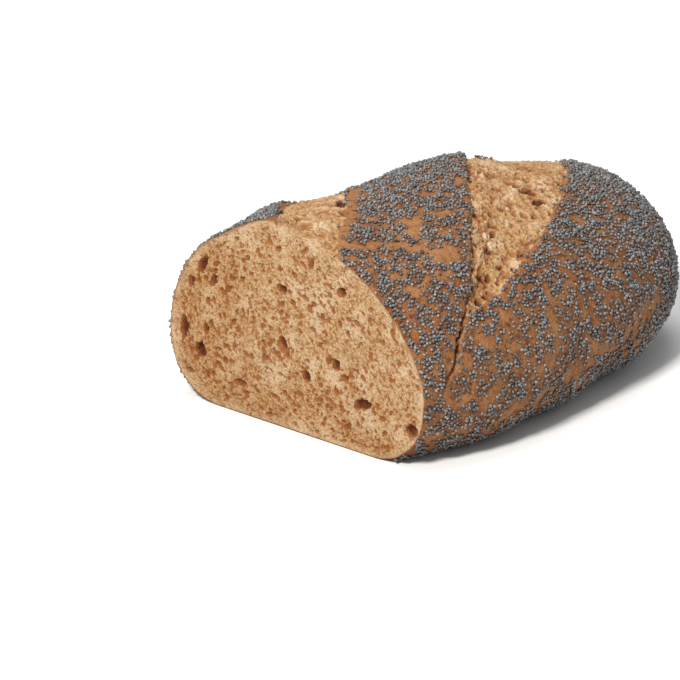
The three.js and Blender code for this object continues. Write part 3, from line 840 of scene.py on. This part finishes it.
# %% Model one seed of each kind
SEED_LONG, SEED_WIDE, SEED_HIGH = 1.43, 1.24, 1.08
SEED_KINDS = (  # name, share of all seeds, scale, depth of the kidney's notch, dark and light shade
    ("slate_seeds", 0.40, 1.0, 0.25, colour(58, 58, 58), colour(124, 125, 124)),
    ("grey_seeds", 0.30, 0.96, 0.15, colour(72, 71, 68), colour(150, 148, 144)),
    ("blue_seeds", 0.18, 1.05, 0.3, colour(60, 64, 68), colour(128, 133, 136)),
    ("brown_seeds", 0.12, 0.92, 0.2, colour(62, 50, 40), colour(114, 97, 82)),
)


def one_seed(scale, notch):
    """A kidney of 20 faces: a small ball, stretched, with one point pushed in."""
    bpy.ops.mesh.primitive_ico_sphere_add(subdivisions=1, radius=0.5, location=(0, 0, 0))
    seed = bpy.context.active_object
    mode("EDIT")
    bpy.ops.mesh.select_all(action="SELECT")
    bpy.ops.transform.resize(value=(SEED_LONG * scale, SEED_WIDE * scale, SEED_HIGH * scale))
    mode("OBJECT")
    points = points_of(seed)
    side = points[:, 1].argmin()
    points[side, 1] += notch
    faces = np.array([list(face.vertices) for face in seed.data.polygons])
    bpy.data.objects.remove(seed)
    return points, faces


# %% Where the coat is thick and where it is bare
BARE_PATCHES = (  # along, round, half-length, half-width, turn in degrees from along to round
    (19, 25, 8, 2.0, 20), (29, 31, 5, 2.2, 52), (38, 41, 9, 2.6, 12), (42, 19, 6, 2.4, 47),
    (39, 25, 4, 1.6, 0), (31, 20, 2, 2, 0), (33, 11, 3, 1.4, 60), (89, -5, 3, 2, 0), (17, 48, 4, 2, 0),
    (31, 48, 3, 1.5, 0), (56, 23, 2.5, 1.5, 0), (80, 7, 2, 3, 0), (134, 75, 5, 2.6, -52),
    (119, 83, 9, 2.4, -32), (95, 92, 6, 2.6, 15), (79, 99, 6, 2.6, 0), (89, 96, 3, 2, 0),
    (62, 90, 8, 2.8, -22), (62, 102, 4, 1.8, 0), (43, 104, 8, 1.8, -20), (29, 97, 4, 2.2, -45),
    (18, 92, 4, 1.8, 0), (47, 68, 3, 1.6, 60), (34, 76, 3, 2, 60), (70, 79, 3, 2, 90), (45, 81, 4, 1.8, 0),
    (17, 80, 3, 2, 0), (7, 104, 3, 2, 0), (88, 77, 3, 2, 0),
)
BARE_BY_LIP, BARE_BY_EDGE = 2.2, (3.4, 0.7)  # the coat is thin this far from the torn edges
WIDER_FROM, WIDER_OVER, WIDER_TIMES = 5, 30, 3  # on the far side of the top that edge grows wider
PATCH_FRAY, EDGE_WANDER = (1.2, 3.5), (1.6, 5)  # how ragged they are, over what size
COAT_MEAN, COAT_FULL = 0.55, 0.7  # the coat's thickness, and the thickness that leaves nothing bare
CLUMP, SPECKLE = (1.15, 3.7), (0.8, 1.5)  # strengths and sizes of the clumps that seeds lie in
HUMP_CLUMP, HUMP_RUN = 0.4, 10  # before the second slash the clumps are stronger
THIN_FLANK, THIN_FROM, THIN_OVER, HUMP_SHIFT = 0.3, 44, 25, 18  # low on the +round flank it is thinner
THIN_END, THIN_END_OVER = 150, 30
THICK_FOOT, THICK_FROM, THICK_OVER = 0.6, 0.87, 0.09  # and by the base thicker
EDGE_BARE, CREASE_BARE, PATCH_BARE, LIP_BARE = 1.3, 1.2, 1, 0.7


def bareness(along, round_, places):
    """From 0 where the coat is as the rule has it to 1 in the middle of a bare patch."""
    bare, fray = np.zeros_like(along), PATCH_FRAY[0] * rough(places, PATCH_FRAY[1], 3, 51)
    for at_along, at_round, half_along, half_round, turn in BARE_PATCHES:
        da, dr = turned(along - at_along, round_ - at_round, turn)
        away = np.hypot(da / half_along, dr / half_round)
        bare = np.maximum(bare, smooth(1.6 - away + fray))
    return bare


def edge_bareness(along, round_, places):
    """From 0 to 1 in the bare edge past each tear, which wanders."""
    bare, fray = np.zeros_like(along), EDGE_WANDER[0] * rough(places, EDGE_WANDER[1], 3, 61)
    wider = 1 + WIDER_TIMES * smooth((-round_ - WIDER_FROM) / WIDER_OVER)
    for slash, bare_by_edge in zip(SLASHES, BARE_BY_EDGE):
        past_edge = past_lip_of(slash, along, round_) - slash["width"] * slash_fade(round_)
        by_edge = smooth(1.4 - past_edge / (bare_by_edge * wider) + fray)
        by_edge *= (past_edge > -1) * (slash_fade(round_) > 0)
        bare = np.maximum(bare, by_edge)
    return bare


def coat(along, round_, torn, crease, places):
    """How likely it is that a seed sticks, from 0 to 1."""
    on_hump = smooth(-past_lip_of(SLASHES[1], along, round_) / HUMP_RUN)
    clumps = (CLUMP[0] + HUMP_CLUMP * on_hump) * rough(places, CLUMP[1], 2, 21)
    thick = COAT_MEAN + clumps + SPECKLE[0] * rough(places, SPECKLE[1], 1, 25)
    down = smooth((round_ - THIN_FROM - HUMP_SHIFT * on_hump) / THIN_OVER)
    thick -= THIN_FLANK * down * smooth((THIN_END - along) / THIN_END_OVER)
    foot_share = np.abs(round_) / corner_round(along, round_)
    thick += THICK_FOOT * smooth((foot_share - THICK_FROM) / THICK_OVER)
    thick -= EDGE_BARE * edge_bareness(along, round_, places) + CREASE_BARE * smooth(crease / 0.3)
    thick -= (PATCH_BARE + HUMP_CLUMP * on_hump) * bareness(along, round_, places)
    for slash in SLASHES:
        past_lip = past_lip_of(slash, along, round_)
        thick -= LIP_BARE * smooth(1 + past_lip / BARE_BY_LIP) * (past_lip < 1) * (slash_fade(round_) > 0)
    return np.clip(thick / COAT_FULL, 0, 1) * (1 - smooth((torn - 0.1) / 0.3))


along, round_, torn, crease = (known_by(crust, name) for name in ("along", "round", "torn", "crease"))
places = points_of(crust) / MM
paint(crust, bare=np.maximum(bareness(along, round_, places), edge_bareness(along, round_, places)),
      coated=coat(along, round_, torn, crease, places))

# %% Throw the seeds on the crust
SEED_GAP = 0.98  # no two seeds of the first layer lie closer than this
THROWS = 120000
SECOND_LAYER, SECOND_LIFT, SECOND_ASIDE = 0.34, 0.72, 0.4  # how many lie on others, how high, how far off
SEED_SIT, SEED_TILT = (0.2, 0.4), 0.22  # how high a seed's middle lies over the crust, and how it tilts
BARE_FOOT, BARE_CUT = 1.5, 0.35  # no seed lies lower than this, or closer to the cut


def crust_triangles():
    """The triangles that seeds may lie on, and what their corners know."""
    corners = np.empty(3 * len(crust.data.loop_triangles), np.int32)
    crust.data.loop_triangles.foreach_get("vertices", corners)
    corners = corners.reshape(-1, 3)
    known = {name: known_by(crust, name) for name in ("torn", "cap", "along", "round", "crease")}
    known["rise"] = points_of(crust)[:, 2] / MM
    clear = (known["cap"][corners].max(1) < 0.5) & (known["rise"][corners].max(1) > BARE_FOOT)
    return corners[clear], known


def thrown():
    """Places and normals for the seeds, by a seeded rule, and how thick the coat is there."""
    draw = np.random.default_rng(17)
    corners, known = crust_triangles()
    points = points_of(crust) / MM
    a, b, c = (points[corners[:, i]] for i in range(3))
    crosses = np.cross(b - a, c - a)
    area = np.linalg.norm(crosses, axis=1) / 2
    chosen = draw.choice(len(corners), THROWS, p=area / area.sum())
    u, v = draw.random(THROWS), draw.random(THROWS)
    u, v = np.where(u + v > 1, 1 - u, u), np.where(u + v > 1, 1 - v, v)
    weights = np.stack([1 - u - v, u, v], axis=1)
    places = sum(weights[:, [i]] * points[corners[chosen, i]] for i in range(3))
    at = {name: (weights * values[corners[chosen]]).sum(1) for name, values in known.items()}
    normals = crosses[chosen] / np.maximum(2 * area[chosen], 1e-9)[:, None]
    thick = coat(at["along"], at["round"], at["torn"], at["crease"], places)
    wanted = (draw.random(THROWS) < thick) & (places[:, 2] > BARE_FOOT) & (at["along"] > BARE_CUT)
    kept, cells = [], {}
    for i in np.flatnonzero(wanted):
        x, y, z = places[i]
        cell = (int(x // SEED_GAP), int(y // SEED_GAP), int(z // SEED_GAP))
        close = (other for p in (-1, 0, 1) for q in (-1, 0, 1) for r in (-1, 0, 1)
                 for other in cells.get((cell[0] + p, cell[1] + q, cell[2] + r), ()))
        if all((x - ox) ** 2 + (y - oy) ** 2 + (z - oz) ** 2 > SEED_GAP**2 for ox, oy, oz in close):
            cells.setdefault(cell, []).append((x, y, z))
            kept.append(i)
    kept = np.array(kept)
    return places[kept], normals[kept], thick[kept], draw


def seed_frames(places, normals, thick, draw):
    """A centre and three axes for each seed, with a second layer where the coat is thick."""
    upper = np.flatnonzero((draw.random(len(places)) < SECOND_LAYER) & (thick > 0.8))
    aside = draw.normal(0, SECOND_ASIDE, (len(upper), 3))
    aside -= (aside * normals[upper]).sum(1)[:, None] * normals[upper]
    high = places[upper] + normals[upper] * SECOND_LIFT + aside
    centres = np.concatenate([places + normals * draw.uniform(*SEED_SIT, len(places))[:, None], high])
    up = np.concatenate([normals, normals[upper]]) + draw.normal(0, SEED_TILT, (len(centres), 3))
    up /= np.linalg.norm(up, axis=1, keepdims=True)
    long = np.cross(up, draw.normal(0, 1, up.shape))
    long /= np.linalg.norm(long, axis=1, keepdims=True)
    return centres, np.stack([long, np.cross(up, long), up], axis=2)


def joined_seeds(name, shape, centres, axes, sizes, shades):
    points, faces = shape
    spread = centres[:, None, :] + np.einsum("nij,pj->npi", axes, points) * sizes[:, None, None]
    all_faces = (faces[None] + len(points) * np.arange(len(centres))[:, None, None]).reshape(-1, 3)
    mesh = bpy.data.meshes.new(name)
    mesh.from_pydata(spread.reshape(-1, 3) * MM, [], all_faces.tolist())
    piece = bpy.data.objects.new(name, mesh)
    bpy.context.scene.collection.objects.link(piece)
    mesh.shade_smooth()
    paint(piece, shade=np.repeat(shades, len(points)))
    return piece


centres, axes = seed_frames(*thrown())
print(len(centres), "poppy seeds lie on the crust")

# %% [markdown]
# ## The seeds' finish
#
# Blue poppy seeds are slate grey to blue, some browner, with a dull waxy bloom. Every seed has its own
# shade, kept as an attribute on its points, and faint pits over it, which painted shade darkens. Painted
# shade also darkens the seeds low down.

# %% Finish and join the seeds
SEED_SPREAD, SEED_SIZES = 0.08, (0.8, 1.2)
SEED_FOOT_SHADE = 0.3  # painted shade: low down the seeds are darker, down to this share


def seed_finish(name, dark, light):
    f = Finish(name, 0.36, 0.75)
    shade = f.mix(f.known("shade"), dark, light)
    pits = f.noise(0.22, 2)
    # painted shade darkens the pits
    shade = f.over(shade, dark, pits, 0.6, 0.35, 0.4)
    return f.finish(shade, f.bumps(pits, 0.05))


draw = np.random.default_rng(29)
lot = draw.random(len(centres))
sizes, shades = draw.normal(1, SEED_SPREAD, len(centres)).clip(*SEED_SIZES), draw.random(len(centres))
# painted shade: low down the seeds are darker
shades *= SEED_FOOT_SHADE + (1 - SEED_FOOT_SHADE) * smooth((centres[:, 2] - FOOT_SHADE_LOW) / (FOOT_SHADE_HIGH - FOOT_SHADE_LOW))
start = 0.0
for name, share, scale, notch, dark, light in SEED_KINDS:
    of_kind = np.flatnonzero((lot >= start) & (lot < start + share))
    start += share
    seeds = joined_seeds(name, one_seed(scale, notch), centres[of_kind], axes[of_kind], sizes[of_kind],
                         shades[of_kind])
    seeds.data.materials.append(seed_finish(name, dark, light))
    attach(seeds, "root")
    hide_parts("loaf")
    print(name, len(of_kind), "seeds,", 20 * len(of_kind), "triangles")

# %% [markdown]
# ## Floor, light and camera
#
# The floor is plain and pale. A soft lamp from the upper left shows the relief of the crust, a wide one
# overhead lifts the top, and the pale world fills the shadows. The camera stands where the photograph was
# taken from: far away, with a long lens.

# %% Floor
FLOOR_SIZE = 6.0
bpy.ops.mesh.primitive_plane_add(size=FLOOR_SIZE, location=(0, 0, 0))
floor = bpy.context.active_object
floor.name = "floor"
floor_finish = Finish("pale_floor", 0.9)
floor_finish.shader.inputs["Base Color"].default_value = colour(238, 237, 235)
floor.data.materials.append(floor_finish.material)

# %% Light


def soft_lamp(name, place, aim, size, power, tint):
    lamp = bpy.data.lights.new(name, "AREA")
    lamp.size, lamp.energy, lamp.color = size, power, tint
    stand = bpy.data.objects.new(name, lamp)
    bpy.context.scene.collection.objects.link(stand)
    stand.location = place
    stand.rotation_euler = (Vector(aim) - Vector(place)).to_track_quat("-Z", "Y").to_euler()


soft_lamp("key_softbox", (-1.1, -0.35, 1.15), (0, 0, 0.04), 0.3, 30, (1, 0.985, 0.96))
soft_lamp("top_softbox", (0.15, 0.25, 1.4), (0, 0, 0.04), 0.8, 8, (1, 1, 1))
world = bpy.data.worlds.new("pale_room")
world.use_nodes = True
background = world.node_tree.nodes["Background"].inputs
background["Color"].default_value = (0.93, 0.96, 1, 1)
background["Strength"].default_value = 0.45
bpy.context.scene.world = world
bpy.context.scene.view_settings.view_transform = "Standard"

# %% Camera
CAMERA_AZIMUTH, CAMERA_ELEVATION, CAMERA_DISTANCE = math.radians(-44.1), math.radians(21.84), 1.664
LOOK_AT = Vector((48.78 - MIDDLE_ALONG, 26.98 - MIDDLE_ACROSS, 14.52)) * MM
LENS, SENSOR = 237.0, 36.0

camera = bpy.data.cameras.new("camera")
camera.lens, camera.sensor_width, camera.clip_start = LENS, SENSOR, 0.05
viewpoint = bpy.data.objects.new("camera", camera)
bpy.context.scene.collection.objects.link(viewpoint)
backwards = Vector((math.sin(CAMERA_AZIMUTH) * math.cos(CAMERA_ELEVATION),
                    -math.cos(CAMERA_AZIMUTH) * math.cos(CAMERA_ELEVATION), math.sin(CAMERA_ELEVATION)))
viewpoint.location = LOOK_AT + backwards * CAMERA_DISTANCE
viewpoint.rotation_euler = (-backwards).to_track_quat("-Z", "Y").to_euler()
bpy.context.scene.camera = viewpoint
